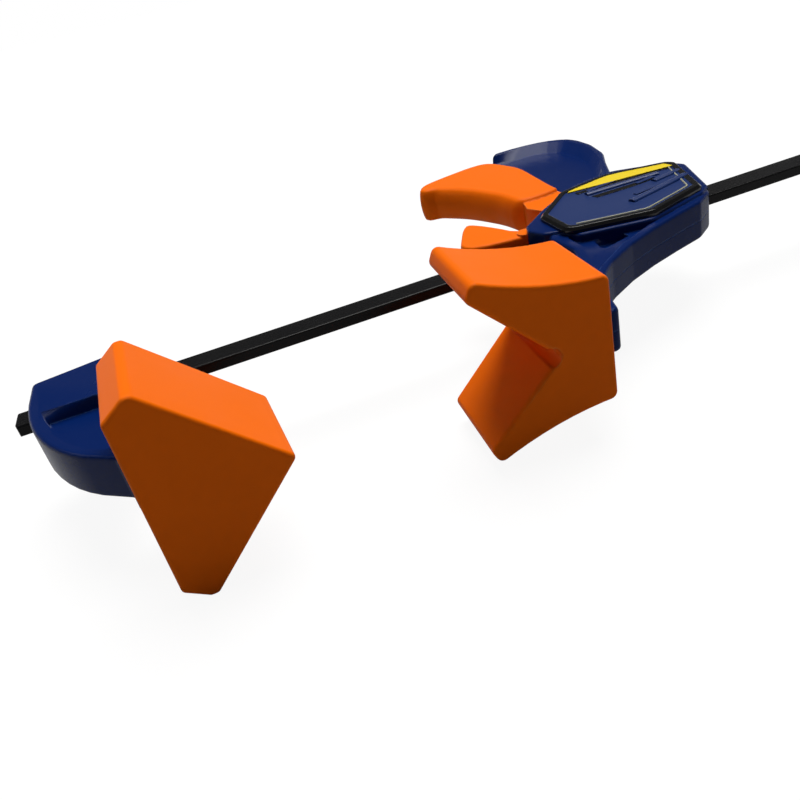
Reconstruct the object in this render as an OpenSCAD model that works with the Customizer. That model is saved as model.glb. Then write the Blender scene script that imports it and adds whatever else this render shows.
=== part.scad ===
// Quick release bar clamp with a wedge pad and a V pad, drawn with the bar along X.
// The origin is the centre of the bar's free end face at the fixed jaw. The moving
// jaw lies at +X, the jaw tips at -Y, the grip at +Y and the badge side at +Z.

/* [Bar] */
// Whole length of the bar
bar_l = 475; // [250:5:900]
// Width of the bar across the pull
bar_w = 12.7; // [10:0.1:16]
// Thickness of the bar
bar_t = 4.8; // [3:0.1:6]
// Radius of the bar's long edges
bar_edge_r = 0.8; // [0.3:0.1:1.4]
// Radius of the corners at the bar's ends
bar_end_r = 2; // [0.5:0.1:4]
// Length of bar that shows behind the fixed jaw
bar_nose = 7.5; // [3:0.5:15]

/* [Fixed jaw] */
// Width of the fixed jaw along the bar
fj_w = 39.6; // [32:0.5:60]
// Half the thickness of the fixed jaw
fj_z = 9; // [8:0.5:12]
// Height of the jaw above the middle of the bar
fj_top = 21.5; // [16:0.5:30]
// Half the thickness of the web in the side pockets
fj_web = 3.5; // [2.5:0.5:5]
// Distance from the middle of the bar to the middle of the fixed jaw's pad
fj_reach = 72; // [60:1:110]
// Radius of the pin that holds the jaw on the bar
jaw_pin_r = 2; // [1:0.1:2.5]

/* [Pads] */
// Angle by which each jaw leans in at its tip
toe = 3; // [0:0.5:4]
// Depth of the wedge pad across the clamp
wedge_d = 46; // [40:1:60]
// Length of the wedge pad from its back to its sharp apex
wedge_l = 51; // [40:1:70]
// Half the height of the wedge pad at its shoulders
wedge_h = 39.9; // [30:0.1:50]
// Radius of the wedge's apex and corners
wedge_r = 2; // [0.5:0.1:4]
// Depth of the V pad across the clamp
vee_d = 42.1; // [38:0.1:60]
// Thickness of the V pad from its back to the apex of the notch
vee_t = 20.8; // [18:0.1:30]
// Length of the V pad's wings in front of the apex
vee_wing = 30; // [20:0.5:45]
// Half the height of the V pad at its back
vee_back_h = 25.5; // [20:0.5:35]
// Radius of the keyhole at the root of the notch
keyhole_r = 4; // [2:0.1:6]
// Half the height of the foot that a pad snaps on
foot_y = 16; // [12:0.5:18]
// Half the thickness of that foot
foot_z = 8.5; // [6:0.5:8.5]
// Length of that foot inside the pad
foot_l = 8; // [5:0.5:12]

/* [Moving jaw] */
// Place of the moving jaw's reference line along the bar
slide_x = 240; // [180:1:300]
// Length of the head along the bar, from the reference line to its end
head_l = 84; // [80:0.5:100]
// Height of the head above the middle of the bar
head_h = 46; // [44:0.5:56]
// Half the thickness of the head and the grip
shell_z = 10; // [10:0.1:12]
// Half the thickness of the arm below the head
arm_z = 8.7; // [8.6:0.1:9.8]
// Distance from the middle of the bar to the middle of the moving jaw's pad
mj_reach = 69.4; // [60:0.5:100]
// Distance of that pad's back face ahead of the reference line
mj_seat = 23; // [16:0.5:30]
// Height of the grip above the middle of the bar
grip_h = 133; // [120:1:160]
// Half the thickness of the grip's web
grip_web = 4.2; // [3:0.1:4.2]
// Thickness of the badge plate
badge_t = 2.5; // [1:0.1:4]

/* [Mechanism] */
// Half the depth of the chamber inside the head
cavity_z = 7.6; // [7:0.1:8]
// Radius of the trigger's pin
trig_pin_r = 2; // [1.2:0.1:2.4]
// Distance of the trigger's pin below the middle of the bar
trig_pin_y = 13.5; // [12.5:0.1:14.5]
// Half the width of the trigger across its side walls
trig_z = 9; // [8.6:0.1:9.8]
// Thickness of the trigger's walls
trig_wall = 4; // [2.5:0.1:5]
// Angle that the trigger turns when it is squeezed
squeeze = 12; // [8:0.5:12]
// Radius of the release lever's pin
rel_pin_r = 1.5; // [1:0.1:1.8]
// Half the width of the release lever
rel_z = 6; // [4:0.1:6.5]
// Length of the release lever's fin in front of its pin
rel_fin = 34.5; // [28:0.5:40]
// Thickness of the brake plate
brake_t = 3; // [2:0.1:3.5]
// Angle at which the brake plate rests
brake_tilt = 8; // [6:0.5:9]
// Thickness of each drive plate
drive_t = 2; // [1.2:0.1:2.4]
// Angle at which the drive plates rest
drive_tilt = 5; // [3:0.5:6]
// Radius of the spring wire
wire_r = 0.5; // [0.3:0.05:0.6]
// Turns of the brake plate's spring
brake_turns = 4; // [3:1:5]
// Turns of the drive plates' spring
drive_turns = 7; // [5:1:10]
// Length of the drive plates' spring
drive_spring_l = 26; // [22:0.5:28]

/* [Fastenings] */
// Radius of the shell screws' shanks
screw_r = 1.4; // [1:0.1:1.8]
// Radius of the shell screws' heads
screw_head_r = 2.9; // [2.2:0.1:3]
// Height of the shell screws' heads
screw_head_h = 2.4; // [1.5:0.1:2.8]
// Radius of the stop pin near the end of the bar
stop_r = 1.6; // [1:0.1:2.2]
// Distance of the stop pin from the end of the bar
stop_in = 9; // [6:0.5:20]

/* [Hidden] */
// Overrun of every cut past the face that it opens
over = 0.5;
// Play of the shells on the bar, of a pin in its hole and of a part between two walls
slide_gap = 0.12;
pin_gap = 0.03;
side_gap = 0.4;
plate_gap = 0.2;
seat_gap = 0.3;
// Largest play between faces that rest on each other
rest_gap = 0.05;
// Segments of a corner's arc and of a lofted edge
arc_n = 4;
least_arc = 0.8;
edge_n = 3;
// Segments of true round holes and pins, and of one turn of a spring
$fn = 48;
turn_n = 16;
wire_n = 6;

// Places along the bar inside the head, each from the reference line
brake_x = 6.5;
rib_x = 18;
rib_t = 2;
rib_gap = 0.3;
trig_boss_r = 3.6;
trig_foot = 2.5;
trig_pin_x = rib_x + rib_t + trig_foot;
drive_x = 29.5;
nose_r = 1.3;
rel_boss_r = 3.4;
rel_pin_x = -1.5;
rel_pin_y = bar_w / 2 + slide_gap + rel_boss_r + side_gap;
brake_top = 18.5;
brake_low = 14.5;
brake_pivot = 13;
drive_top = 13.5;
drive_low = 12.5;
brake_play = 0.75;
brake_slot = bar_w / 2 + brake_play;
drive_play = 0.25;
drive_slot = bar_w / 2 + drive_play;
drive_step = drive_t / cos(drive_tilt);
drive_count = 3;
drive_stack = drive_count * drive_step;
nose_y = 10.5;
stroke = (trig_pin_y + nose_y) * sin(squeeze);
chamber_x = drive_x + drive_stack + stroke + drive_top * tan(drive_tilt) + side_gap;
chamber_low = 18.5;
coil_gap = 0.31;
coil_r = norm([bar_w, bar_t]) / 2 + wire_r + coil_gap;
pocket_r = coil_r + wire_r + rib_gap;
brake_spring_x = brake_x + brake_t + wire_r + plate_gap / 2;
drive_spring_x = drive_x + drive_stack + (coil_r + wire_r) * tan(drive_tilt) + wire_r + rib_gap;
pocket_x = drive_spring_x + drive_spring_l + wire_r + rest_gap;
trig_in = grip_web + side_gap;
cheek_z = cavity_z - side_gap;
plate_z = cavity_z - plate_gap;
pin_roof = 1.1;
screw_seat = 5.5;
screw_tip = 5;

// A corner of an outline rounded to radius r, with n steps to a right angle
function corner(a, b, c, r, n) =
  let (u = (b - a) / norm(b - a), v = (c - b) / norm(c - b),
       turn = atan2(u[0] * v[1] - u[1] * v[0], u * v), half = tan(abs(turn) / 2),
       room = min(norm(b - a), norm(c - b)) * 0.45)
  r <= 0 || half < 0.01 ? [b] :
  let (t = min(r * half, room), rr = t / half, s = sign(turn), m = ceil(abs(turn) / 90 * n))
  2 * t < least_arc ? [b] :
  let (ctr = b - t * u + s * rr * [-u[1], u[0]], start = atan2(-s * u[0], s * u[1]))
  [for (k = [0:m]) ctr + rr * [cos(start + turn * k / m), sin(start + turn * k / m)]];
// An outline with each corner rounded to the radius held as its point's third value
function rounded(p, n = arc_n) =
  let (m = len(p))
  [for (i = [0:m - 1])
    let (a = p[(i + m - 1) % m], b = p[i], c = p[(i + 1) % m])
    each corner([a[0], a[1]], [b[0], b[1]], [c[0], c[1]], b[2], n)];
// Shares of two sizes made into lengths, with the corner's radius a share of the first
function sized(shares, sx, sy) = [for (q = shares) [q[0] * sx, q[1] * sy, q[2] * sx]];
// An outline, listed anticlockwise, drawn in by d along the bisector of each corner
function drawn_in(p, d) =
  let (m = len(p))
  [for (i = [0:m - 1])
    let (a = p[(i + m - 1) % m], b = p[i], c = p[(i + 1) % m],
         u = (b - a) / norm(b - a), v = (c - b) / norm(c - b))
    b + d * [-(u[1] + v[1]), u[0] + v[0]] / (1 + u * v)];
// Levels [height, inset] of an edge rounded to radius r at height z, going up or down
function edge_up(z, r) = [for (k = [0:edge_n]) [z - r + r * sin(90 * k / edge_n), r - r * cos(90 * k / edge_n)]];
function edge_down(z, r) = [for (k = [edge_n:-1:0]) [z + r - r * sin(90 * k / edge_n), r - r * cos(90 * k / edge_n)]];
// Which way three points turn: above zero for left
function turn(a, b, c) = (b[0] - a[0]) * (c[1] - a[1]) - (b[1] - a[1]) * (c[0] - a[0]);
// Triangles that fill an outline, cut off one corner at a time, the shortest cut first
function cut_up(p, left, bent) =
  let (m = len(left))
  m == 3 ? [left] :
  let (cuts = [for (i = [0:m - 1])
         let (a = left[(i + m - 1) % m], b = left[i], c = left[(i + 1) % m])
         if (turn(p[a], p[b], p[c]) > 0 && len([for (q = bent) if (q != a && q != b && q != c
           && turn(p[a], p[b], p[q]) >= 0 && turn(p[b], p[c], p[q]) >= 0 && turn(p[c], p[a], p[q]) >= 0) q]) == 0)
         [norm(p[c] - p[a]), i]],
       least = min([for (c = cuts) c[0]]),
       k = [for (c = cuts) if (c[0] == least) c[1]][0])
  concat([[left[(k + m - 1) % m], left[k], left[(k + 1) % m]]],
    cut_up(p, [for (i = [0:m - 1]) if (i != k) left[i]], [for (q = bent) if (q != left[k]) q]));
function filled(p) =
  let (m = len(p))
  cut_up(p, [for (i = [0:m - 1]) i],
    [for (i = [0:m - 1]) if (turn(p[(i + m - 1) % m], p[i], p[(i + 1) % m]) <= 0) i]);
// The faces that close a solid of h rows, with the outlines of its first row and last
function ends(first, last, h) =
  let (m = len(first))
  concat(filled(first), [for (t = filled(last)) [for (k = [2:-1:0]) (h - 1) * m + t[k]]]);
// A solid through copies of one outline, each drawn in by its level's inset
module lofted(p, levels) {
  m = len(p);
  h = len(levels);
  rows = [for (l = levels) drawn_in(p, l[1])];
  pts = [for (j = [0:h - 1]) each [for (q = rows[j]) [q[0], q[1], levels[j][0]]]];
  sides = [for (j = [0:h - 2], i = [0:m - 1])
    [j * m + i, (j + 1) * m + i, (j + 1) * m + (i + 1) % m, j * m + (i + 1) % m]];
  polyhedron(pts, concat(ends(rows[0], rows[h - 1], h), sides));
}
// A rectangle with rounded corners, centred
module rounded_rect(w, h, r) {
  square([w - 2 * r, h], center = true);
  square([w, h - 2 * r], center = true);
  for (sx = [-1, 1], sy = [-1, 1]) translate([sx * (w / 2 - r), sy * (h / 2 - r)]) circle(r);
}
// The space that the bar takes, widened by gap
module bar_space(x0, x1, gap) {
  translate([x0, -bar_w / 2 - gap, -bar_t / 2 - gap]) cube([x1 - x0, bar_w + 2 * gap, bar_t + 2 * gap]);
}
// A pin along Z from z0 to z1
module post(r, z0, z1) translate([0, 0, z0]) cylinder(h = z1 - z0, r = r);
// The two frames in which a pad sits: its back face at x = 0, facing its work along +x
module at_wedge() translate([bar_nose + fj_w, -fj_reach, 0]) rotate([0, 0, toe]) children();
module at_vee() translate([slide_x - mj_seat, -mj_reach, 0]) rotate([0, 0, 180 - toe]) children();
// The foot that a pad snaps on, its root inside the arm, and the pad's socket for it
foot_root = 3;
foot_edge = 1;
module foot(low) {
  translate([0, -foot_y, -foot_z]) cube([foot_l, 2 * foot_y, 2 * foot_z]);
  translate([-foot_root, low, -foot_z]) cube([foot_root + foot_l, foot_y - low, 2 * foot_z]);
}
module socket() {
  translate([-over, -foot_y - side_gap, -foot_z - side_gap])
    cube([over + foot_l + side_gap, 2 * (foot_y + side_gap), 2 * (foot_z + side_gap)]);
}

// Bar with rounded edges, rounded end corners and the holes for its two pins
jaw_pin_in = 16.5;
jaw_pin_x = bar_nose + jaw_pin_in;
stop_h = 4.5;
module bar() {
  color("dimgray") difference() {
    intersection() {
      rotate([90, 0, 90]) linear_extrude(bar_l) rounded_rect(bar_w, bar_t, bar_edge_r);
      translate([bar_l / 2, 0, -bar_t / 2 - over]) linear_extrude(bar_t + 2 * over)
        rounded_rect(bar_l, bar_w + over, bar_end_r);
    }
    translate([jaw_pin_x, 0, 0]) post(jaw_pin_r + pin_gap, -bar_t, bar_t);
    translate([bar_l - stop_in, 0, 0]) post(stop_r + pin_gap, -bar_t, bar_t);
  }
}
module jaw_pin() color("silver") translate([jaw_pin_x, 0, 0]) post(jaw_pin_r, -fj_z + seat_gap, fj_z - jaw_pin_roof);
module stop_pin() color("silver") translate([bar_l - stop_in, 0, 0]) post(stop_r, -stop_h, stop_h);

// Fixed jaw: an open moulded web with a rim, a solid boss round the bar and a foot
jaw_pin_roof = 2.4;
fj_edge = 1.5;
fj_foot_low = 5;
fj_ellipse_share = 1.326;
fj_start = 2.4;
fj_swing = 57;
fj_rim = 5;
fj_rim_low = 3.5;
fj_draft = 1.2;
fj_top_shares = [[0.896, 1, 0.05], [0.568, 0.884, 0], [0, 0.712, 0.075]];
fj_low_shares = [[0.884, -0.958, 0.1]];
fj_throat_shares = [[0.972, -0.625, 0.1], [0.896, -0.167, 0.15]];
fj_pocket_shares = [[0.6, -0.77, 0], [0.86, -0.88, 0.05], [0.9, -0.66, 0.08], [0.82, -0.21, 0.05]];
function fj(q) = [bar_nose + q[0] * fj_w, q[1] * (q[1] < 0 ? fj_reach : fj_top), q[2] * fj_w];
function fj_arc(t, rim, low) =
  [bar_nose + fj_ellipse_share * fj_w - (fj_ellipse_share * fj_w - rim) * cos(t), -(fj_reach - low) * sin(t), 0];
function on_seat(y) = [bar_nose + fj_w - tan(toe) * y, y - fj_reach, 0];
fj_outline = rounded(concat(
  [for (q = fj_top_shares) fj(q)],
  [for (k = [0:9]) fj_arc(fj_start + (fj_swing - fj_start) * k / 9, 0, 0)],
  [for (q = fj_low_shares) fj(q)],
  [on_seat(-fj_foot_low), on_seat(foot_y + 2 * foot_edge)],
  [for (q = fj_throat_shares) fj(q)]));
fj_pocket_t = 12.6;
fj_pocket_end = 50;
fj_pocket = rounded(concat(
  [for (k = [0:6]) fj_arc(fj_pocket_t + (fj_pocket_end - fj_pocket_t) * k / 6, fj_rim, fj_rim_low)],
  [for (q = fj_pocket_shares) fj(q)]));
module fixed_jaw() {
  color([0.07, 0.16, 0.5]) difference() {
    union() {
      lofted(fj_outline, concat(edge_down(-fj_z, fj_edge), edge_up(fj_z, fj_edge)));
      at_wedge() foot(-fj_foot_low + foot_edge);
    }
    lofted(fj_pocket, [[fj_web, fj_draft], [fj_z + over, 0]]);
    lofted(fj_pocket, [[-fj_z - over, 0], [-fj_web, fj_draft]]);
    bar_space(0, bar_nose + fj_w + over, rest_gap);
    translate([jaw_pin_x, 0, 0]) post(jaw_pin_r + pin_gap, -fj_z - over, fj_z - jaw_pin_roof + seat_gap);
  }
}

// Wedge pad: flanks at 45 degrees that match the notch of the V pad
wedge_flat = 2.8;
wedge_chamfer = 5.9;
pad_edge = 1.2;
wedge_shoulder = wedge_l - wedge_h;
wedge_outline = rounded([
  [0, -wedge_h + wedge_chamfer, wedge_r], [wedge_shoulder - wedge_flat, -wedge_h, wedge_r],
  [wedge_shoulder, -wedge_h, wedge_r], [wedge_l, 0, wedge_r],
  [wedge_shoulder, wedge_h, wedge_r], [wedge_shoulder - wedge_flat, wedge_h, wedge_r],
  [0, wedge_h - wedge_chamfer, wedge_r]]);
module wedge_pad() {
  color("darkorange") at_wedge() difference() {
    rotate([90, 0, 0]) lofted(wedge_outline,
      concat(edge_down(-wedge_d / 2, pad_edge), edge_up(wedge_d / 2, pad_edge)));
    socket();
  }
}

// V pad: concave outer flanks, rounded tips and a keyhole at the root of its notch
vee_tip_x = 3;
vee_tip_z = 6.5;
vee_tip_r = 2.8;
vee_back_r = 3.5;
vee_neck = 0.9;
vee_sag = 2.5;
vee_key_x = 3;
vee_front = vee_t + vee_wing - vee_tip_x;
vee_out = vee_wing + vee_tip_z;
function vee_flank(s) =
  [vee_front * s, vee_back_h - vee_neck + (vee_out - vee_back_h + vee_neck) * s - 4 * vee_sag * s * (1 - s), 0];
vee_flank_pts = [for (k = [1:7]) vee_flank(k / 8)];
vee_half = concat([[vee_t + vee_wing, vee_wing, vee_tip_r], [vee_front, vee_out, vee_tip_r]],
  [for (k = [6:-1:0]) vee_flank_pts[k]], [[0, vee_back_h - vee_neck, vee_back_r]]);
vee_outline = rounded(concat([[vee_t, 0, 0]], vee_half,
  [for (k = [len(vee_half) - 1:-1:0]) [vee_half[k][0], -vee_half[k][1], vee_half[k][2]]]));
module v_pad() {
  color("darkorange") at_vee() difference() {
    rotate([90, 0, 0]) lofted(vee_outline, concat(edge_down(-vee_d / 2, pad_edge), edge_up(vee_d / 2, pad_edge)));
    translate([vee_t + vee_key_x, 0, 0]) rotate([90, 0, 0]) post(keyhole_r, -vee_d, vee_d);
    socket();
  }
}

// Moving jaw, in a frame at the reference line: outlines as shares of the head's length
// along the bar, of the head's height above it, of the reach below it and of the grip
nose_shares = [[-0.045, -0.07, 0], [-0.075, -0.144, 0.05], [-0.057, -0.402, 0.08], [-0.1, -0.55, 0.08]];
arm_shares = [[-0.119, -0.865, 0.2], [0, -0.72, 0.15],
  [0.179, -0.584, 0.15], [0.357, -0.483, 0.1], [0.536, -0.403, 0.1], [0.714, -0.331, 0.06],
  [0.821, -0.231, 0.05], [0.85, -0.19, 0.03], [0.79, -0.1, 0]];
head_shares = [[0.857, -0.165, 0.04], [1, 0.478, 0.05], [0.976, 0.587, 0.05], [0.81, 0.826, 0.1], [0.667, 0.957, 0.1],
  [0.488, 0.92, 0], [0.4, 0.887, 0], [0.308, 0.798, 0.03], [0.068, 0.474, 0.03],
  [-0.015, 0.333, 0.03], [-0.1, 0.196, 0.02]];
ledge_shares = [[-0.127, 0.061, 0.02], [-0.083, -0.086, 0.02], [-0.006, -0.13, 0.03], [0.042, -0.274, 0.03],
  [0.405, -0.393, 0.08], [0.78, -0.245, 0.05]];
recess_shares = [[-0.155, -0.85, 0.03], [-0.06, -0.74, 0.06], [0.143, -0.555, 0.06], [0.357, -0.425, 0.06],
  [0.536, -0.353, 0.04], [0.64, -0.3, 0.03], [0.48, -0.2, 0.02], [0.08, -0.17, 0.02], [-0.01, -0.2, 0.03],
  [-0.012, -0.4, 0.06], [-0.055, -0.56, 0.06], [-0.14, -0.7, 0.04]];
deep_shares = [[0.075, -0.47, 0.02], [0.26, -0.4, 0.02], [0.25, -0.31, 0.02], [0.095, -0.3, 0.02]];
badge_shares = [[-0.012, -0.187, 0.06], [0.03, -0.238, 0.06], [0.429, -0.372, 0.08], [0.798, -0.21, 0.06],
  [0.94, 0.478, 0.06], [0.905, 0.587, 0.06], [0.571, 0.793, 0.25], [0.238, 0.674, 0.08],
  [-0.012, 0.217, 0.08]];
grip_shares = [[0.315, 0.17, 0.05], [0.6, 0.2, 0.05], [0.643, 0.286, 0.1], [0.67, 0.338, 0.1],
  [0.754, 0.459, 0.2], [0.838, 0.564, 0.2], [0.886, 0.714, 0.2], [0.886, 0.827, 0.2], [0.862, 0.887, 0.1],
  [0.814, 0.925, 0.1], [0.731, 0.965, 0.2], [0.612, 0.988, 0.2], [0.493, 1, 0.2], [0.374, 1, 0.05],
  [0.326, 0.958, 0.05], [0.267, 0.868, 0.05], [0.292, 0.782, 0.1], [0.315, 0.692, 0.1]];
scoop_shares = [[0.12, 0.21, 0], [0.56, 0.21, 0.08], [0.595, 0.308, 0.1], [0.667, 0.391, 0.2],
  [0.75, 0.489, 0.2], [0.821, 0.617, 0.2], [0.85, 0.752, 0.2], [0.821, 0.872, 0.15], [0.714, 0.955, 0.15],
  [0.595, 0.977, 0.2], [0.12, 0.977, 0]];
function mj(q) = [q[0] * head_l, q[1] * (q[1] < 0 ? mj_reach : head_h), q[2] * head_l];
function mjs(shares) = [for (q = shares) mj(q)];
function gr(shares) = rounded(sized(shares, head_l, grip_h));
function on_vee_seat(y) = [-mj_seat + tan(toe) * y, y - mj_reach, 0];
shell_edge = 1.2;
arm_edge = 1.5;
arm_foot = 17;
recess_z = 6.2;
recess_draft = 1;
deep_z = 3;
scoop_slope = 4.5;
web_front_share = 0.315;
web_step = 0.4;
grip_step = 0.15;
mouth_x = 40.5;
arm_tip_w = 4.1;
arm_neck_w = 7;
arm_tip_shares = [[0, -1.24, 0.03], [0, -1.081, 0.2]];
arm_outline = rounded(concat(mjs(nose_shares), [on_vee_seat(arm_foot), on_vee_seat(-arm_foot)],
  [mj(arm_tip_shares[0]) + [arm_tip_w - mj_seat, 0, 0], mj(arm_tip_shares[1]) + [arm_neck_w - mj_seat, 0, 0]],
  mjs(arm_shares)));
ledge_outline = rounded(concat(mjs(ledge_shares), mjs(head_shares)));
// Chamber of the mechanism, open at the mouth where the trigger and the lever come out
chamber_left = brake_x - seat_gap;
chamber_back = brake_x - (brake_top + brake_pivot) * tan(brake_tilt) - side_gap;
mouth_y = bar_w / 2 + slide_gap;
chamber_outline = [
  [chamber_left, -chamber_low], [chamber_x - 2 * trig_boss_r, -chamber_low],
  [chamber_x, -drive_low - 2 * side_gap], [chamber_x, drive_top + 2 * side_gap],
  [mouth_x, drive_top + trig_boss_r], [mouth_x, head_h + over],
  [-mj_seat, head_h + over], [-mj_seat, mouth_y], [chamber_back, mouth_y],
  [chamber_back, brake_t - brake_low], [chamber_left, brake_t - brake_low]];
// Places of the screws that hold the two shells together, on solid bosses
screw_shares = [[0.762, -0.187, 0], [0.821, 0.478, 0], [0.536, 0.891, 0], [-0.012, -0.202, 0]];
grip_screw_share = [0.826, 0.797];
tip_screw_in = 4.7;
tip_screw_share = 1.009;
screw_places = concat([[tip_screw_in - mj_seat, -tip_screw_share * mj_reach]], [for (q = screw_shares) [mj(q)[0], mj(q)[1]]],
  [[grip_screw_share[0] * head_l, grip_screw_share[1] * grip_h]]);
// The moulding of one shell above the joint face, before its chamber is taken out
module shell_mass() {
  difference() {
    lofted(arm_outline, concat([[-over, 0]], edge_up(arm_z, arm_edge)));
    lofted(rounded(mjs(recess_shares)), [[recess_z, recess_draft], [shell_z, 0]]);
    lofted(rounded(mjs(deep_shares)), [[deep_z, recess_draft], [recess_z + over, 0]]);
  }
  lofted(ledge_outline, concat([[-2 * over, 0]], edge_up(shell_z, shell_edge)));
  difference() {
    lofted(gr(grip_shares), concat([[-3 * over, 0]], edge_up(shell_z - grip_step, shell_edge)));
    lofted(gr(scoop_shares), [[grip_web, scoop_slope], [shell_z + over, 0]]);
  }
}
// One shell: chamber with the spring's rib and the grip's web left in it, spring
// pockets, the bar's groove, the pins' holes and half of the foot that carries the pad
module shell_half() {
  difference() {
    union() {
      difference() {
        shell_mass();
        difference() {
          translate([0, 0, -over]) linear_extrude(cavity_z + over) polygon(chamber_outline);
          translate([web_front_share * head_l + web_step, drive_top + trig_boss_r, -2 * over])
            cube([head_l / 2, head_h, grip_web + 2 * over]);
          translate([rib_x, -pocket_r - side_gap, -2 * over]) cube([rib_t, 2 * (pocket_r + side_gap), shell_z]);
        }
      }
      translate([-mj_seat, -mj_reach, 0]) rotate([0, 0, 180 - toe]) translate([-foot_root, -foot_y, -4 * over])
        cube([foot_root + foot_l, 2 * foot_y, foot_z + 4 * over]);
    }
    for (x = [[brake_spring_x - 2 * wire_r, rib_x], [drive_spring_x - 2 * wire_r, pocket_x]])
      translate([x[0], 0, 0]) rotate([0, 90, 0]) cylinder(h = x[1] - x[0], r = pocket_r);
    translate([-2 * head_l, -2 * mj_reach, -shell_z]) cube([4 * head_l, 2 * (mj_reach + grip_h), shell_z]);
    bar_space(-2 * mj_seat, 2 * head_l, slide_gap);
    translate([trig_pin_x, -trig_pin_y, 0]) post(trig_pin_r + pin_gap, -over, shell_z - pin_roof);
    translate([rel_pin_x, rel_pin_y, 0]) post(rel_pin_r + pin_gap, -over, shell_z - pin_roof);
  }
}
module front_shell() {
  color([0.07, 0.16, 0.5]) translate([slide_x, 0, 0]) difference() {
    shell_half();
    for (p = screw_places) translate(p) post(screw_r + pin_gap, -over, screw_tip + seat_gap);
  }
}
module back_shell() {
  color([0.06, 0.14, 0.45]) translate([slide_x, 0, 0]) mirror([0, 0, 1]) difference() {
    shell_half();
    for (p = screw_places) translate(p) {
      post(screw_r + pin_gap, -over, shell_z + over);
      post(screw_head_r + seat_gap, screw_seat, shell_z + over);
    }
  }
}
// Screws with cross slots, driven in from the back shell
cross_w = 0.9;
cross_h = 1.4;
module shell_screws() {
  color("silver") translate([slide_x, 0, 0]) for (p = screw_places) translate(p) difference() {
    union() {
      post(screw_r, -screw_seat - screw_head_h / 2, screw_tip);
      post(screw_head_r, -screw_seat - screw_head_h, -screw_seat);
    }
    for (a = [0, 90]) rotate([0, 0, a]) translate([-screw_head_r / 2, -cross_w / 2, -screw_seat - screw_head_h - over])
      cube([screw_head_r, cross_w, cross_h + over]);
  }
}
module trigger_pin() {
  color("silver") translate([slide_x + trig_pin_x, -trig_pin_y, 0])
    post(trig_pin_r, -shell_z + pin_roof + seat_gap, shell_z - pin_roof - seat_gap);
}
module release_pin() {
  color("silver") translate([slide_x + rel_pin_x, rel_pin_y, 0])
    post(rel_pin_r, -shell_z + pin_roof + seat_gap, shell_z - pin_roof - seat_gap);
}
// Badge plate on the front shell: a sloped border round a sunken field with plain ribs
badge_rim = 3.5;
badge_sink = 0.6;
badge_rib_w = 2.2;
badge_rib_turn = 10;
badge_rib_shares = [[0.36, 0.43, 0.34], [0.5, -0.04, 0.34], [0.6, 0.22, 0.12]];
module badge_plate() {
  outline = rounded(mjs(badge_shares));
  color([0.1, 0.1, 0.12]) translate([slide_x, 0, 0]) {
    difference() {
      lofted(outline, [[shell_z, 0], [shell_z + badge_t / 2, 0], [shell_z + badge_t, badge_t / 2]]);
      lofted(outline, [[shell_z + badge_t - badge_sink, badge_rim], [shell_z + badge_t + over, badge_rim]]);
    }
    for (q = badge_rib_shares) translate([q[0] * head_l, q[1] * head_h, shell_z + badge_t / 2])
      rotate([0, 0, badge_rib_turn]) cube([q[2] * head_l, badge_rib_w, badge_t / 2 - badge_sink / 4]);
  }
}

// An outline made smooth by cutting its corners n times; further values are blended too
function smooth(p, n) = n == 0 ? p : smooth([for (i = [0:len(p) - 1])
  let (a = p[i], b = p[(i + 1) % len(p)]) each [0.75 * a + 0.25 * b, 0.25 * a + 0.75 * b]], n - 1);
// A solid through outlines of equal length, one at each height
module skinned(rows, heights) {
  m = len(rows[0]);
  h = len(rows);
  pts = [for (j = [0:h - 1]) each [for (q = rows[j]) [q[0], q[1], heights[j]]]];
  sides = [for (j = [0:h - 2], i = [0:m - 1]) each
    [[j * m + i, (j + 1) * m + i, (j + 1) * m + (i + 1) % m], [j * m + i, (j + 1) * m + (i + 1) % m, j * m + (i + 1) % m]]];
  polyhedron(pts, concat(ends(rows[0], rows[h - 1], h), sides));
}

// Trigger: a crowned front, two side walls open at the back, and two cheeks that
// straddle the bar down to the pin. Its shares are of its own two sizes: a width along
// the bar, measured as the head's is, and its height above the bar.
trig_h = 125.5;
trig_w = 84;
trig_crown = 7;
trig_step = 1.2;
trig_edge = 1.2;
trig_shares = [[0.329, 0.36, 0], [0.325, 0.41, 0], [0.343, 0.59, 0], [0.363, 0.765, 0], [0.325, 0.86, 0],
  [0.28, 0.965, 0], [0.185, 1, 0], [-0.07, 0.97, 0], [-0.25, 0.935, 0.1], [-0.285, 0.865, 0.5],
  [-0.19, 0.86, 0.8], [-0.12, 0.805, 1], [-0.057, 0.745, 1], [-0.011, 0.685, 1], [0.023, 0.63, 1],
  [0.081, 0.526, 1], [0.105, 0.434, 1], [0.095, 0.37, 0.6]];
root_shares = [[0.329, 0.44], [0.105, 0.44], [0.09, 0.36], [0.062, 0.29], [0.1, 0.23], [0.167, 0.159],
  [0.243, 0.08], [0.243, -0.08], [0.226, -0.1], [0.31, -0.1], [0.331, 0.05], [0.328, 0.24]];
inner_shares = [[0.7, 0.12], [0.7, 1.2], [-0.083, 1.2], [-0.083, 0.8], [-0.018, 0.71], [0.024, 0.645],
  [0.071, 0.542], [0.099, 0.446], [0.12, 0.33], [0.149, 0.247], [0.226, 0.159], [0.24, 0.12]];
trig_base = smooth(sized3(trig_shares), 2);
function sized3(shares) = [for (q = shares) [q[0] * trig_w, q[1] * trig_h, q[2]]];
function trig_row(z, inset) =
  let (bulge = trig_crown * sqrt(1 - pow(z / (trig_z + trig_step / 2), 2)),
       a = drawn_in(trig_base2, inset), b = drawn_in(trig_base2, inset - bulge))
  [for (i = [0:len(a) - 1]) a[i] + trig_base[i][2] * (b[i] - a[i])];
trig_base2 = [for (q = trig_base) [q[0], q[1]]];
trig_half = concat([[0, 0], [trig_z / 3, 0], [trig_z * 2 / 3, 0]], edge_up(trig_z, trig_edge));
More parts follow.
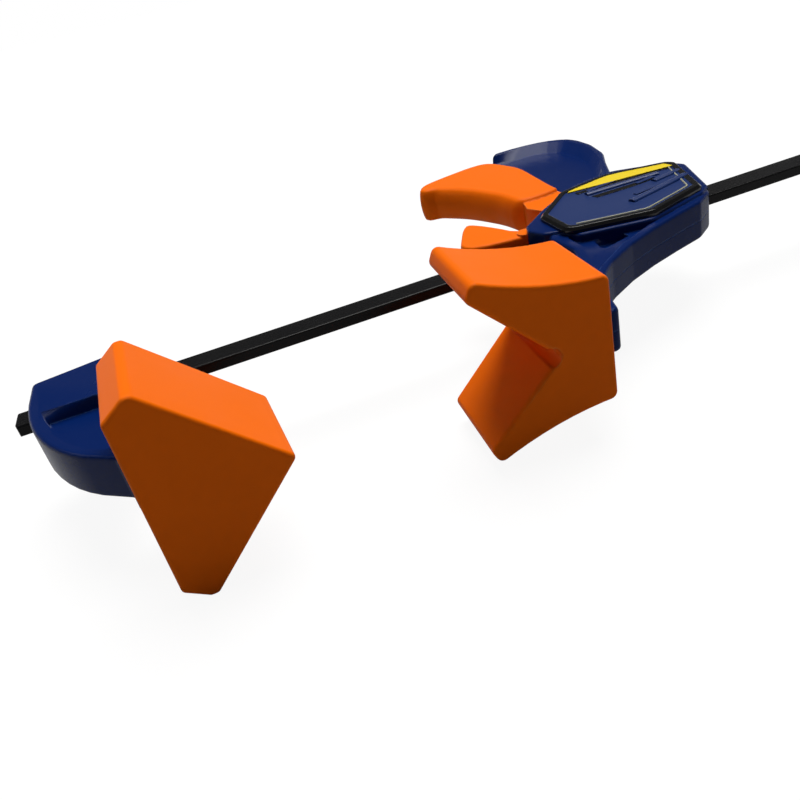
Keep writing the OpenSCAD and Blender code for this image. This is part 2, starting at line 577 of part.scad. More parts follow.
trig_levels = concat([for (k = [len(trig_half) - 1:-1:1]) [-trig_half[k][0], trig_half[k][1]]], trig_half);
nose_x = drive_x + nose_y * tan(drive_tilt) - (nose_r + seat_gap) / cos(drive_tilt);
module trigger() {
  color("darkorange") translate([slide_x, 0, 0]) difference() {
    union() {
      skinned([for (l = trig_levels) trig_row(l[0], l[1])], [for (l = trig_levels) l[0]]);
      translate([0, 0, -cheek_z]) linear_extrude(2 * cheek_z) {
        polygon([for (q = root_shares) [q[0] * trig_w, q[1] * trig_h]]);
        translate([trig_pin_x, -trig_pin_y]) circle(trig_boss_r);
        translate([nose_x, nose_y]) circle(nose_r);
        translate([nose_x - 2 * nose_r, nose_y - nose_r]) square([2 * nose_r, 2 * nose_r]);
      }
    }
    translate([0, 0, -trig_in]) linear_extrude(2 * trig_in)
      polygon([for (q = inner_shares) [q[0] * trig_w, q[1] * trig_h]]);
    translate([rib_x, -2 * trig_pin_y, -trig_in]) cube([trig_w / 2, 2 * trig_pin_y + head_h / 2, 2 * trig_in]);
    translate([trig_pin_x, -trig_pin_y, 0]) post(trig_pin_r + 2 * pin_gap, -shell_z, shell_z);
  }
}

// Plates on the bar: three drive plates and the brake plate, each with a rounded outline
plate_r = 2;
module plate(t, low, top, slot, w) {
  rotate([90, 0, 90]) linear_extrude(t) difference() {
    translate([(top - low) / 2, 0]) rounded_rect(top + low, 2 * w, plate_r);
    square([2 * slot, bar_t + 2 * rib_gap], center = true);
  }
}
module drive_plate(k) {
  color("silver") translate([slide_x + drive_x + k * drive_step, 0, 0]) rotate([0, 0, -drive_tilt])
    plate(drive_t, drive_low, drive_top, drive_slot, plate_z);
}
module drive_plate_1() drive_plate(0);
module drive_plate_2() drive_plate(1);
module drive_plate_3() drive_plate(2);
module brake_plate() {
  color("gray") translate([slide_x + brake_x, -brake_pivot, 0]) rotate([0, 0, brake_tilt])
    translate([0, brake_pivot, 0]) plate(brake_t, brake_low, brake_top, brake_slot, plate_z - side_gap);
}

// A coil round the bar as one tube of wire, with its least gap to itself printed
module coil(x0, x1, turns) {
  n = turns * turn_n;
  mid = [for (k = [0:n]) [x0 + (x1 - x0) * k / n, coil_r * cos(360 * k / turn_n), coil_r * sin(360 * k / turn_n)]];
  echo(coil_gap = min([for (k = [0:n - turn_n]) norm(mid[k + turn_n] - mid[k])]) - 2 * wire_r);
  pts = [for (k = [0:n]) let (a = 360 * k / turn_n, r = [0, cos(a), sin(a)]) each
    [for (j = [0:wire_n - 1]) mid[k] + wire_r * (cos(360 * j / wire_n) * r + sin(360 * j / wire_n) * [1, 0, 0])]];
  sides = [for (k = [0:n - 1], j = [0:wire_n - 1])
    let (a = k * wire_n + j, b = k * wire_n + (j + 1) % wire_n) each
    [[a, b, b + wire_n], [a, b + wire_n, a + wire_n]]];
  polyhedron(pts, concat([[for (j = [wire_n - 1:-1:0]) j]], [[for (j = [0:wire_n - 1]) n * wire_n + j]], sides));
}
module brake_spring() color("silver") translate([slide_x, 0, 0])
  coil(brake_spring_x + wire_r, rib_x - wire_r - rib_gap, brake_turns);
module drive_spring() color("silver") translate([slide_x, 0, 0])
  coil(drive_spring_x, drive_spring_x + drive_spring_l, drive_turns);

// Release lever: a finger fin, a knob, a boss on the pin and a nose behind the brake plate
lever_edge = 1.2;
knob_r = 3.8;
rel_nose_r = 1.2;
rel_nose_y = 17.2;
rel_nose_x = brake_x - (rel_nose_y + brake_pivot) * tan(brake_tilt) - (rel_nose_r + side_gap) / cos(brake_tilt);
lever_h = 31;
lever_shares = [[0.09, -0.09], [-0.07, -0.11], [-0.3, -0.09], [-0.9, 0.06], [-1.04, 0.3], [-0.93, 0.58],
  [-0.76, 0.97], [-0.65, 1.1], [-0.54, 0.97], [-0.37, 0.57], [-0.26, 0.23], [-0.07, 0.14], [0.0, 0.25],
  [0.08, 0.28], [0.1, 0.12]];
lever_outline = smooth([for (k = [len(lever_shares) - 1:-1:0])
  [rel_pin_x + lever_shares[k][0] * rel_fin, rel_pin_y + lever_shares[k][1] * lever_h]], 1);
module release_lever() {
  color("darkorange") translate([slide_x, 0, 0]) difference() {
    union() {
      lofted(lever_outline, concat(edge_down(-rel_z, lever_edge), edge_up(rel_z, lever_edge)));
      translate([rel_pin_x, rel_pin_y, 0]) post(rel_boss_r, -rel_z - side_gap, rel_z + side_gap);
      translate([rel_nose_x, rel_nose_y, 0]) post(rel_nose_r, side_gap - rel_z, rel_z - side_gap);
      translate([rel_pin_x - 1.85 * knob_r, rel_pin_y + side_gap, 0]) post(knob_r, -rel_z - 2 * side_gap, rel_z + 2 * side_gap);
    }
    translate([rel_pin_x, rel_pin_y, 0]) post(rel_pin_r + 2 * pin_gap, -shell_z, shell_z);
  }
}

bar();
fixed_jaw();
jaw_pin();
wedge_pad();
stop_pin();
front_shell();
back_shell();
badge_plate();
shell_screws();
v_pad();
trigger_pin();
release_pin();
brake_spring();
drive_spring();
trigger();
drive_plate_1();
drive_plate_2();
drive_plate_3();
release_lever();
brake_plate();
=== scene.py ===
import math
import bmesh
import bpy
from mathutils import Euler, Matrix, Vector


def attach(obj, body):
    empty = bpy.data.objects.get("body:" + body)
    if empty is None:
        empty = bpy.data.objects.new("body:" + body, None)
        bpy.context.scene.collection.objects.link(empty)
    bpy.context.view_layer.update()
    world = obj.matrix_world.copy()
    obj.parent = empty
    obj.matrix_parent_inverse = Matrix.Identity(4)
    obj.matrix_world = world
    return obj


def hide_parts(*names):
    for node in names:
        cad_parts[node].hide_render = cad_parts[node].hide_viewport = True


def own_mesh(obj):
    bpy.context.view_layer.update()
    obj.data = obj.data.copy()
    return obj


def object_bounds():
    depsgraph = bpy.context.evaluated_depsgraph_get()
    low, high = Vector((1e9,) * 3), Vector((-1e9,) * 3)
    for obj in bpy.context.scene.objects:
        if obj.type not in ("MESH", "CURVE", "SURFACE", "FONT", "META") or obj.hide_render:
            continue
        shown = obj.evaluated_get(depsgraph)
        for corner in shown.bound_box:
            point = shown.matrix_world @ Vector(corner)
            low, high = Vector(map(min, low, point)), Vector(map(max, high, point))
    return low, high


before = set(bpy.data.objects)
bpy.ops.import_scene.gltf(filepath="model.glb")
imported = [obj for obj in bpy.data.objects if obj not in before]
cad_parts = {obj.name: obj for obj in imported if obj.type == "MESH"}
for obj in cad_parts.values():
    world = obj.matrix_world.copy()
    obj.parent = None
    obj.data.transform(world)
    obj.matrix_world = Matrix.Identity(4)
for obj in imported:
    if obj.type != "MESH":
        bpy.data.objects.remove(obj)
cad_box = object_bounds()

scene = bpy.context.scene

# Camera: it stands low beyond the jaw tips and looks up along the clamp, rolled so that
# the bar climbs to the right and leaves the frame there.
camera_data = bpy.data.cameras.new("camera")
camera_data.lens = 35.12
camera_data.sensor_width = 36
camera_data.clip_start = 0.01
camera = bpy.data.objects.new("camera", camera_data)
camera.location = (0.09469, -0.30717, 0.13737)
camera.rotation_euler = Euler((1.0200197, 0.20970241, -0.31764766), "XYZ")
scene.collection.objects.link(camera)
scene.camera = camera


# Bar: cold drawn flat steel with a satin black finish, cut square and eased at both
# ends. The fixed jaw is pinned at its left end and the moving jaw slides along it.
def new_tree(label, kind, inputs, outputs):
    """A node group, and the sockets that its nodes take from and give to.

    An input is listed with its value, or with its sort where it has none.
    """
    made = bpy.data.node_groups.new(label, kind)
    for name, value in inputs.items():
        sort = value if isinstance(value, str) else "Int" if isinstance(value, int) else "Float"
        socket = made.interface.new_socket(name, in_out="INPUT", socket_type="NodeSocket" + sort)
        if value != sort:
            socket.default_value = value
    for name, socket_type in outputs.items():
        made.interface.new_socket(name, in_out="OUTPUT", socket_type="NodeSocket" + socket_type)
    return made, made.nodes.new("NodeGroupInput").outputs, made.nodes.new("NodeGroupOutput").inputs


def put(tree, kind, inputs=None, **options):
    """A node in that tree. Each of its inputs takes a value, another node's output, or a list of outputs."""
    node = tree.nodes.new(kind)
    for label, value in options.items():
        setattr(node, label, value)
    for label, value in (inputs or {}).items():
        for source in value if isinstance(value, list) else [value]:
            if isinstance(source, bpy.types.NodeSocket):
                tree.links.new(source, node.inputs[label])
            else:
                node.inputs[label].default_value = source
    return node


def maths(tree, operation, *terms):
    """The result of a sum on numbers and other nodes' outputs."""
    return put(tree, "ShaderNodeMath", dict(enumerate(terms)), operation=operation).outputs[0]


def grain_group():
    """Fine grain of a surface, with slow uneven patches in its gloss: a height and a roughness."""
    made, given, result = new_tree(
        "surface grain", "ShaderNodeTree",
        {"Grain size": 2200.0, "Patch size": 45.0, "Roughness": 0.35, "Spread": 0.1},
        {"Height": "Float", "Roughness": "Float"})
    where = put(made, "ShaderNodeTexCoord").outputs["Object"]
    fine = put(made, "ShaderNodeTexNoise", {"Vector": where, "Scale": given["Grain size"], "Detail": 3})
    patch = put(made, "ShaderNodeTexNoise", {"Vector": where, "Scale": given["Patch size"], "Detail": 2})
    swing = maths(made, "MULTIPLY_ADD", patch.outputs["Fac"], 2, -1)
    gloss = maths(made, "MULTIPLY_ADD", swing, given["Spread"], given["Roughness"])
    made.links.new(fine.outputs["Fac"], result["Height"])
    made.links.new(gloss, result["Roughness"])
    return made


def edge_highlight_group():
    """A painted highlight along a piece's edges, broken up by noise. A mask from 0 to 1."""
    made, given, result = new_tree(
        "rubbed edges", "ShaderNodeTree", {"Edge": 0.0008, "Break up": 160.0, "Strength": 1.0}, {"Mask": "Float"})
    corner = put(made, "ShaderNodeBevel", {"Radius": given["Edge"]}, samples=4)
    flat = put(made, "ShaderNodeNewGeometry")
    same = put(made, "ShaderNodeVectorMath", {0: flat.outputs["Normal"], 1: corner.outputs["Normal"]},
               operation="DOT_PRODUCT")
    bent = put(made, "ShaderNodeMapRange",
               {"Value": same.outputs["Value"], "From Min": 0.98, "From Max": 0.8, "To Min": 0, "To Max": 1})
    where = put(made, "ShaderNodeTexCoord").outputs["Object"]
    noise = put(made, "ShaderNodeTexNoise", {"Vector": where, "Scale": given["Break up"], "Detail": 4})
    patchy = put(made, "ShaderNodeMapRange",
                 {"Value": noise.outputs["Fac"], "From Min": 0.3, "From Max": 0.6, "To Max": given["Strength"]})
    edge_highlight_mask = maths(made, "MULTIPLY", bent.outputs["Result"], patchy.outputs["Result"])
    made.links.new(edge_highlight_mask, result["Mask"])
    return made


grain = grain_group()
edge_highlight_tree = edge_highlight_group()


def finish(name, colour, painted_highlight, rough, spread, grain_size, grain_depth, edge, shine=0.5, metallic=0.0):
    """A finish with grain, uneven gloss, a painted highlight along its edges and softly rounded corners."""
    made = bpy.data.materials.new(name)
    made.use_nodes = True
    tree = made.node_tree
    skin = tree.nodes["Principled BSDF"]
    skin.inputs["Metallic"].default_value = metallic
    skin.inputs["Specular IOR Level"].default_value = shine
    surface = put(tree, "ShaderNodeGroup", {"Grain size": grain_size, "Roughness": rough, "Spread": spread},
                  node_tree=grain)
    # The second colour is a painted highlight, mixed in along the edges by this mask.
    edge_highlight_node = put(tree, "ShaderNodeGroup", {"Edge": edge}, node_tree=edge_highlight_tree)
    paint = put(tree, "ShaderNodeMix", {"Factor": edge_highlight_node.outputs["Mask"], "A": (*colour, 1), "B": (*painted_highlight, 1)},
                data_type="RGBA")
    corner = put(tree, "ShaderNodeBevel", {"Radius": edge}, samples=4)
    relief = put(tree, "ShaderNodeBump", {"Strength": 1, "Distance": grain_depth, "Height": surface.outputs["Height"],
                                          "Normal": corner.outputs["Normal"]})
    tree.links.new(paint.outputs["Result"], skin.inputs["Base Color"])
    tree.links.new(surface.outputs["Roughness"], skin.inputs["Roughness"])
    tree.links.new(relief.outputs["Normal"], skin.inputs["Normal"])
    return made


def plain_mesh(piece):
    """Turn what the piece's modifiers make into its own mesh, and take them off."""
    baked = bpy.data.meshes.new_from_object(piece.evaluated_get(bpy.context.evaluated_depsgraph_get()))
    piece.modifiers.clear()
    piece.data = baked
    baked.name = piece.name
    return baked


def smoothed(node, name, body, look, angle=38):
    """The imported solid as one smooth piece: its corners merged, its flat faces whole and kept flat."""
    merge_gap = 2e-6
    flat_within = math.radians(0.4)
    shape = bmesh.new()
    shape.from_mesh(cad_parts[node].data)
    bmesh.ops.remove_doubles(shape, verts=shape.verts, dist=merge_gap)
    bmesh.ops.dissolve_limit(shape, angle_limit=flat_within, verts=shape.verts, edges=shape.edges)
    mesh = bpy.data.meshes.new(name)
    shape.to_mesh(mesh)
    shape.free()
    mesh.materials.clear()
    mesh.materials.append(look)
    mesh.shade_smooth()
    mesh.set_sharp_from_angle(angle=math.radians(angle))
    piece = bpy.data.objects.new(name, mesh)
    scene.collection.objects.link(piece)
    weigh = piece.modifiers.new("flat faces", "WEIGHTED_NORMAL")
    weigh.keep_sharp = True
    plain_mesh(piece)
    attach(piece, body)
    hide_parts(node)
    return piece


# Each finish's second colour is a painted highlight along its edges.
bar_black = finish("satin black steel", colour=(0.004, 0.004, 0.0045), painted_highlight=(0.045, 0.045, 0.045),
                   rough=0.26, spread=0.07, grain_size=1500, grain_depth=0.000008, edge=0.0005, shine=0.12)
smoothed("bar", "flat_bar", "bar_assembly", bar_black)

# Fixed jaw: a glass filled nylon moulding with a rim round a sunken web, solid where it
# grips the bar and at the foot that carries its pad. A pin holds it on the bar.
blue = finish("blue moulding", colour=(0.001, 0.013, 0.095), painted_highlight=(0.025, 0.09, 0.34),
              rough=0.25, spread=0.06, grain_size=2600, grain_depth=0.000012, edge=0.0011, shine=0.08)
smoothed("fixed_jaw", "fixed_jaw_moulding", "bar_assembly", blue)

# Jaw pin and stop pin: ground steel dowels pressed across the bar. The first holds the
# fixed jaw and the second keeps the moving jaw from running off the bar's end.
pin_steel = finish("ground steel", colour=(0.52, 0.52, 0.54), painted_highlight=(0.7, 0.7, 0.72),
                   rough=0.28, spread=0.08, grain_size=3000, grain_depth=0.000004, edge=0.0002, metallic=1.0)
smoothed("jaw_pin", "jaw_pin_steel", "bar_assembly", pin_steel)
smoothed("stop_pin", "stop_pin_steel", "bar_assembly", pin_steel)

# Wedge pad: a thick orange moulding that snaps over the fixed jaw's foot. Its two flanks
# meet in front at a right angle, and match the notch of the V pad.
orange = finish("orange moulding", colour=(0.93, 0.155, 0.001), painted_highlight=(1.0, 0.38, 0.1),
                rough=0.42, spread=0.05, grain_size=2400, grain_depth=0.00001, edge=0.0012, shine=0.05)
smoothed("wedge_pad", "wedge_pad_moulding", "bar_assembly", orange)

# Moving jaw: two mirrored nylon shells that close over the mechanism. The front one has
# the sunken arm, the raised ledge under the badge and the scooped grip.
smoothed("front_shell", "front_shell_moulding", "slider", blue)
smoothed("back_shell", "back_shell_moulding", "slider", blue)

# Badge plate: a glossy black plastic plate glued on the head, with a plain blue field in a
# sloped border. Plain ribs stand on the field, and a yellow strip lies along its far edge.
badge_black = finish("gloss black badge", colour=(0.0035, 0.0035, 0.004), painted_highlight=(0.02, 0.02, 0.02),
                     rough=0.14, spread=0.03, grain_size=1200, grain_depth=0.000003, edge=0.0003, shine=0.5)
badge_blue = finish("blue badge field", colour=(0.003, 0.022, 0.12), painted_highlight=(0.03, 0.07, 0.25),
                    rough=0.34, spread=0.04, grain_size=1200, grain_depth=0.000004, edge=0.0004, shine=0.25)
badge_yellow = finish("yellow badge strip", colour=(0.88, 0.66, 0.012), painted_highlight=(0.9, 0.75, 0.1),
                      rough=0.3, spread=0.04, grain_size=1200, grain_depth=0.000004, edge=0.0003, shine=0.3)
badge_line = finish("pale badge line", colour=(0.42, 0.42, 0.3), painted_highlight=(0.6, 0.6, 0.5),
                    rough=0.3, spread=0.04, grain_size=1200, grain_depth=0.000004, edge=0.0002, shine=0.4)
badge_plate = smoothed("badge_plate", "badge_frame", "slider", badge_black, angle=25)
badge_plate.data.materials.append(badge_blue)
field_z = 0.0119
field_low, field_high = field_z - 0.0004, field_z + 0.00055
faces_down = -0.2
badge_corners = badge_plate.data.vertices
for face in badge_plate.data.polygons:
    below_border = all(badge_corners[v].co.z < field_high for v in face.vertices)
    if face.center.z > field_low and below_border and face.normal.z > faces_down:
        face.material_index = 1
trim_z = field_z - 0.0001
mm = 0.001


def through(points, steps):
    """Points along a smooth line through the given ones."""
    line = []
    last = len(points) - 1
    for k in range(last):
        a, b, c, d = points[max(k - 1, 0)], points[k], points[k + 1], points[min(k + 2, last)]
        for i in range(steps):
            t = i / steps
            line.append(tuple(
                0.5 * (2 * b[j] + (c[j] - a[j]) * t + (2 * a[j] - 5 * b[j] + 4 * c[j] - d[j]) * t * t
                       + (3 * b[j] - a[j] - 3 * c[j] + d[j]) * t ** 3) for j in (0, 1)))
    return line + [points[last]]


def badge_patch(name, near, far, height, look):
    """A thin patch on the badge, between a near line and a far one that runs back, in millimetres."""
    outline = through(near, 6) + through(far, 6)
    shape = bmesh.new()
    low = [shape.verts.new((x * mm, y * mm, trim_z)) for x, y in outline]
    high = [shape.verts.new((x * mm, y * mm, trim_z + height)) for x, y in outline]
    shape.faces.new(high)
    shape.faces.new(low[::-1])
    for k in range(len(outline)):
        n = (k + 1) % len(outline)
        shape.faces.new((low[k], low[n], high[n], high[k]))
    mesh = bpy.data.meshes.new(name)
    shape.to_mesh(mesh)
    shape.free()
    mesh.materials.append(look)
    piece = bpy.data.objects.new(name, mesh)
    scene.collection.objects.link(piece)
    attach(piece, "slider")


def grown(name, places, edges, tree, settings, angle):
    """A plain closed mesh baked from that tree over those points, with its inputs set by name."""
    merge_gap = 1e-7
    start = bpy.data.meshes.new(name + "_places")
    start.from_pydata(places, edges, [])
    piece = bpy.data.objects.new(name, start)
    scene.collection.objects.link(piece)
    live = piece.modifiers.new("tree", "NODES")
    live.node_group = tree
    keys = {item.name: item.identifier for item in tree.interface.items_tree if item.in_out == "INPUT"}
    for label, value in settings.items():
        live[keys[label]] = value
    baked = plain_mesh(piece)
    shape = bmesh.new()
    shape.from_mesh(baked)
    bmesh.ops.remove_doubles(shape, verts=shape.verts, dist=merge_gap)
    shape.to_mesh(baked)
    shape.free()
    baked.materials.clear()
    baked.materials.append(settings["Finish"])
    baked.polygons.foreach_set("material_index", [0] * len(baked.polygons))
    baked.shade_smooth()
    baked.set_sharp_from_angle(angle=math.radians(angle))
    return piece


def rib_tree():
    """A half round rib along a line of points."""
    made, given, result = new_tree(
        "half round rib", "GeometryNodeTree",
        {"Line": "Geometry", "Width": 0.004, "Height": 0.001, "Finish": "Material"}, {"Rib": "Geometry"})
    made.is_modifier = True
    path = put(made, "GeometryNodeMeshToCurve", {"Mesh": given["Line"]})
    upright = put(made, "GeometryNodeSetCurveNormal", {"Curve": path.outputs["Curve"]}, mode="Z_UP")
    arch = put(made, "GeometryNodeCurveArc",
               {"Resolution": 9, "Radius": 1, "Start Angle": math.pi, "Sweep Angle": math.pi})
    closed = put(made, "GeometryNodeSetSplineCyclic", {"Geometry": arch.outputs["Curve"], "Cyclic": True})
    half_width = maths(made, "MULTIPLY", given["Width"], 0.5)
    size = put(made, "ShaderNodeCombineXYZ", {"X": half_width, "Y": given["Height"], "Z": 1})
    section = put(made, "GeometryNodeTransform", {"Geometry": closed.outputs["Geometry"], "Scale": size.outputs[0]})
    swept = put(made, "GeometryNodeCurveToMesh", {"Curve": upright.outputs["Curve"],
                                                  "Profile Curve": section.outputs["Geometry"], "Fill Caps": True})
    real = put(made, "GeometryNodeRealizeInstances", {"Geometry": swept.outputs["Mesh"]})
    coat = put(made, "GeometryNodeSetMaterial", {"Geometry": real.outputs["Geometry"], "Material": given["Finish"]})
    made.links.new(coat.outputs["Geometry"], result["Rib"])
    return made


ribs = rib_tree()


def badge_rib(name, points, width, height, look):
    """A half round rib on the badge, along a line listed in millimetres."""
    line = through(points, 8)
    piece = grown(name, [(x * mm, y * mm, trim_z) for x, y in line], [(k, k + 1) for k in range(len(line) - 1)],
                  ribs, {"Width": width * mm, "Height": height, "Finish": look}, angle=50)
    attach(piece, "slider")


badge_patch("yellow_strip",
            near=[(262.5, 26.6), (272, 24.9), (284, 22.9), (298, 21), (308, 19.4), (314.6, 18.4)],
            far=[(313.4, 24.3), (300, 28.9), (288.5, 32.5), (276, 30.5), (264, 27.9)],
            height=0.0006, look=badge_yellow)
# Two thin black strips are painted shade on the field: one between the yellow strip and the long rib, one below the
# long rib.
badge_patch("far_painted_shade",
            near=[(265, 21.2), (285, 20.4), (305, 18.2), (313, 16.4)],
            far=[(312.4, 18.2), (305, 19.6), (285, 22.4), (265, 24)],
            height=0.0003, look=badge_black)
badge_patch("near_painted_shade",
            near=[(269, 9.9), (286, 9.4), (299, 10.4)],
            far=[(298, 12.7), (286, 12.8), (268, 13.6)],
            height=0.0003, look=badge_black)
badge_rib("long_rib", [(267.4, 17.5), (285, 16.6), (304, 15.3)], width=4.2, height=0.0012, look=badge_blue)
badge_rib("near_rib", [(276, -7.2), (292, -2.6), (310.5, 3.1)], width=4.2, height=0.0012, look=badge_blue)
badge_rib("short_rib", [(297, 7.6), (304.5, 9.4), (312.5, 11.3)], width=3.6, height=0.001, look=badge_blue)
badge_rib("pale_line", [(246, -11.6), (258.5, -15.3), (272, -18.9), (275.8, -19.7), (279.6, -18.5),
                        (299.8, -11.1), (302.5, -9.3), (303.9, -6.1), (312.8, 20.2)],
          width=0.8, height=0.0006, look=badge_line)


# Shell screws: six steel pan head screws with a cross recess, driven in from the back
# shell into the front one's bosses, each stopped at its own turn.
def screw_tree():
    """One screw on every point of a mesh, its head towards -Z and its turn its own."""
    made, given, result = new_tree(
        "pan head screws", "GeometryNodeTree",
        {"Places": "Geometry", "Head radius": 0.0029, "Head top radius": 0.0023, "Head height": 0.0024,
         "Shank radius": 0.0014, "Shank length": 0.0105, "Cross width": 0.0007, "Cross length": 0.0029,
         "Cross depth": 0.0012, "Seed": 5, "Finish": "Material"},
        {"Screws": "Geometry"})
    made.is_modifier = True
    head = put(made, "GeometryNodeMeshCone",
               {"Vertices": 40, "Radius Top": given["Head top radius"], "Radius Bottom": given["Head radius"],
                "Depth": given["Head height"]})
    half_head = maths(made, "MULTIPLY", given["Head height"], 0.5)
    whole_shank = maths(made, "ADD", given["Shank length"], half_head)
    quarter_head = maths(made, "MULTIPLY", given["Head height"], 0.25)
    down = maths(made, "MULTIPLY_ADD", given["Shank length"], -0.5, quarter_head)
    shank = put(made, "GeometryNodeMeshCylinder",
                {"Vertices": 24, "Radius": given["Shank radius"], "Depth": whole_shank})
    low = put(made, "ShaderNodeCombineXYZ", {"Z": down})
    shank_down = put(made, "GeometryNodeTransform",
                     {"Geometry": shank.outputs["Mesh"], "Translation": low.outputs[0]})
    union = put(made, "GeometryNodeMeshBoolean",
                {"Mesh 2": [head.outputs["Mesh"], shank_down.outputs["Geometry"]]}, operation="UNION", solver="EXACT")
    deep = maths(made, "MULTIPLY", given["Cross depth"], 2)
    top = put(made, "ShaderNodeCombineXYZ", {"Z": given["Head height"]})
    arms = []
    for along, across in (("X", "Y"), ("Y", "X")):
        size = put(made, "ShaderNodeCombineXYZ",
                   {along: given["Cross length"], across: given["Cross width"], "Z": deep})
        arm = put(made, "GeometryNodeMeshCube", {"Size": size.outputs[0]})
        arm_up = put(made, "GeometryNodeTransform",
                     {"Geometry": arm.outputs["Mesh"], "Translation": top.outputs[0]})
        arms.append(arm_up.outputs["Geometry"])
    cut = put(made, "GeometryNodeMeshBoolean", {"Mesh 1": union.outputs["Mesh"], "Mesh 2": arms,
                                                "Self Intersection": True}, operation="DIFFERENCE", solver="EXACT")
    turn = put(made, "FunctionNodeRandomValue",
               {"Min": (math.pi, 0, 0), "Max": (math.pi, 0, math.pi), "Seed": given["Seed"]},
               data_type="FLOAT_VECTOR")
    turned = put(made, "FunctionNodeEulerToRotation", {0: turn.outputs["Value"]})
    each = put(made, "GeometryNodeInstanceOnPoints",
               {"Points": given["Places"], "Instance": cut.outputs["Mesh"], "Rotation": turned.outputs[0]})
    real = put(made, "GeometryNodeRealizeInstances", {"Geometry": each.outputs["Instances"]})
    coat = put(made, "GeometryNodeSetMaterial", {"Geometry": real.outputs["Geometry"], "Material": given["Finish"]})
    made.links.new(coat.outputs["Geometry"], result["Screws"])
    return made


screw_seat = -0.0055
screw_wells = ((221.7, -70.02), (304.01, -12.98), (308.96, 21.99), (285.02, 40.99), (238.99, -14.02), (309.38, 106))
shell_screws = grown("shell_screws_steel", [(x * mm, y * mm, screw_seat) for x, y in screw_wells], [],
                     screw_tree(), {"Finish": pin_steel, "Seed": 5}, angle=30)
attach(shell_screws, "slider")
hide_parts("shell_screws")

# V pad: the matching orange moulding on the moving jaw, with hollow outer flanks and a
# round root to its notch, which grips pipe and square stock.
smoothed("v_pad", "v_pad_moulding", "slider", orange)

# Trigger: a hollow orange moulding, crowned for the fingers, that turns on a steel pin
# under the bar and pushes the drive plates along.
smoothed("trigger", "trigger_moulding", "trigger", orange, angle=45)
smoothed("trigger_pin", "trigger_pin_steel", "slider", pin_steel)

# Drive plates: three hardened steel stampings, slotted for the bar, which bite on it when
# they tilt, with the wound wire spring that sends them back and shortens as they come.
# As in every finish, the second colour is a painted highlight along the edges.
plate_steel = finish("hardened steel", colour=(0.2, 0.195, 0.19), painted_highlight=(0.5, 0.5, 0.5),
                     rough=0.4, spread=0.1, grain_size=1800, grain_depth=0.000008, edge=0.0003, metallic=1.0)
spring_steel = finish("spring steel", colour=(0.3, 0.3, 0.31), painted_highlight=(0.55, 0.55, 0.56),
                      rough=0.3, spread=0.08, grain_size=2600, grain_depth=0.000004, edge=0.0001, metallic=1.0)
for k in (1, 2, 3):
    smoothed(f"drive_plate_{k}", f"drive_plate_{k}_steel", "drive", plate_steel)
smoothed("brake_spring", "brake_spring_wire", "slider", spring_steel, angle=80)
drive_spring = smoothed("drive_spring", "drive_spring_wire", "slider", spring_steel, angle=80)
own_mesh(drive_spring)

# Brake plate: a thicker stamping that locks the moving jaw on the bar, and the orange
# release lever that straightens it when the finger pulls.
smoothed("brake_plate", "brake_plate_steel", "brake", plate_steel)
smoothed("release_lever", "release_lever_moulding", "release", orange)
smoothed("release_pin", "release_pin_steel", "slider", pin_steel)

# Floor: a plain pale sheet under the clamp. It is seen as white and keeps a soft shadow.
# Gloss meets it a little darker, so that the blue walls stay blue.
floor_reach = 6
floor_z = cad_box[0][2] - 0.0002
white_share, gloss_share = 0.72, 0.3
floor_mesh = bpy.data.meshes.new("floor")
floor_mesh.from_pydata([(-floor_reach, -floor_reach, floor_z), (floor_reach, -floor_reach, floor_z),
                        (floor_reach, floor_reach, floor_z), (-floor_reach, floor_reach, floor_z)], [], [(0, 1, 2, 3)])
floor = bpy.data.objects.new("floor", floor_mesh)
scene.collection.objects.link(floor)
sheet = bpy.data.materials.new("pale floor")
sheet.use_nodes = True
floor_mesh.materials.append(sheet)
tree = sheet.node_tree
tree.nodes.clear()
rays = put(tree, "ShaderNodeLightPath").outputs
glossy = maths(tree, "MULTIPLY", rays["Is Glossy Ray"], gloss_share)
seen = maths(tree, "MAXIMUM", maths(tree, "MAXIMUM", rays["Is Camera Ray"], glossy), rays["Is Transmission Ray"])
pale = put(tree, "ShaderNodeBsdfDiffuse", {"Color": (0.34, 0.34, 0.34, 1)})
white = put(tree, "ShaderNodeEmission", {"Strength": 1.28})
blend = put(tree, "ShaderNodeMixShader",
            {0: maths(tree, "MULTIPLY", seen, white_share), 1: pale.outputs[0], 2: white.outputs[0]})
put(tree, "ShaderNodeOutputMaterial", {0: blend.outputs[0]})

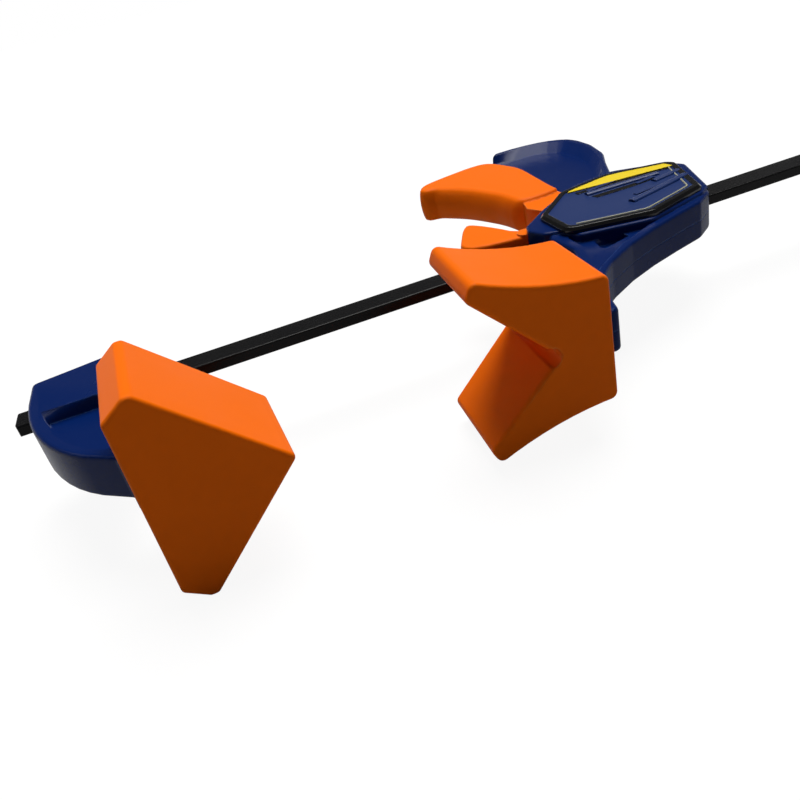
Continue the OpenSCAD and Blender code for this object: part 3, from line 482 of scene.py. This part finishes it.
# Studio: a white backdrop as the camera, gloss and glass see it, with a dim ceiling over
# it that only gloss meets, one broad soft sun from above, and two strips for highlights.
scene.view_settings.view_transform = "Standard"
world = bpy.data.worlds.new("studio")
scene.world = world
world.use_nodes = True
tree = world.node_tree
tree.nodes.clear()
rays = put(tree, "ShaderNodeLightPath").outputs
way = put(tree, "ShaderNodeSeparateXYZ", {0: put(tree, "ShaderNodeTexCoord").outputs["Generated"]})
ceiling = put(tree, "ShaderNodeMapRange",
              {"Value": way.outputs["Z"], "From Min": 0.03, "From Max": 0.22, "To Min": 1, "To Max": 0.08},
              interpolation_type="SMOOTHSTEP")
bright = maths(tree, "MAXIMUM", rays["Is Camera Ray"], ceiling.outputs["Result"])
seen = maths(tree, "MAXIMUM", maths(tree, "MAXIMUM", rays["Is Camera Ray"], rays["Is Glossy Ray"]),
             rays["Is Transmission Ray"])
dim = put(tree, "ShaderNodeBackground", {"Color": (0.9, 0.94, 1, 1), "Strength": 0.07})
white = put(tree, "ShaderNodeBackground", {"Color": (1, 1, 1, 1), "Strength": bright})
blend = put(tree, "ShaderNodeMixShader", {0: seen, 1: dim.outputs[0], 2: white.outputs[0]})
put(tree, "ShaderNodeOutputWorld", {0: blend.outputs[0]})


def lamp(name, kind, place, target, **settings):
    """A lamp that stands at one place and faces another."""
    data = bpy.data.lights.new(name, kind)
    for label, value in settings.items():
        setattr(data, label, value)
    made = bpy.data.objects.new(name, data)
    made.location = place
    made.rotation_euler = (Vector(target) - Vector(place)).to_track_quat("-Z", "Y").to_euler()
    scene.collection.objects.link(made)


lamp("soft sun", "SUN", (0.45, 0.32, 1.0), (0.2, 0, 0), energy=3.5, angle=math.radians(40), color=(1, 0.985, 0.96))
lamp("left strip", "AREA", (-0.5, 0.25, 0.5), (0.1, -0.05, 0), shape="RECTANGLE", size=0.4, size_y=0.04, energy=0.35)
lamp("far strip", "AREA", (0.35, 0.6, 0.75), (0.22, 0, 0), shape="RECTANGLE", size=0.9, size_y=0.05, energy=0.6)
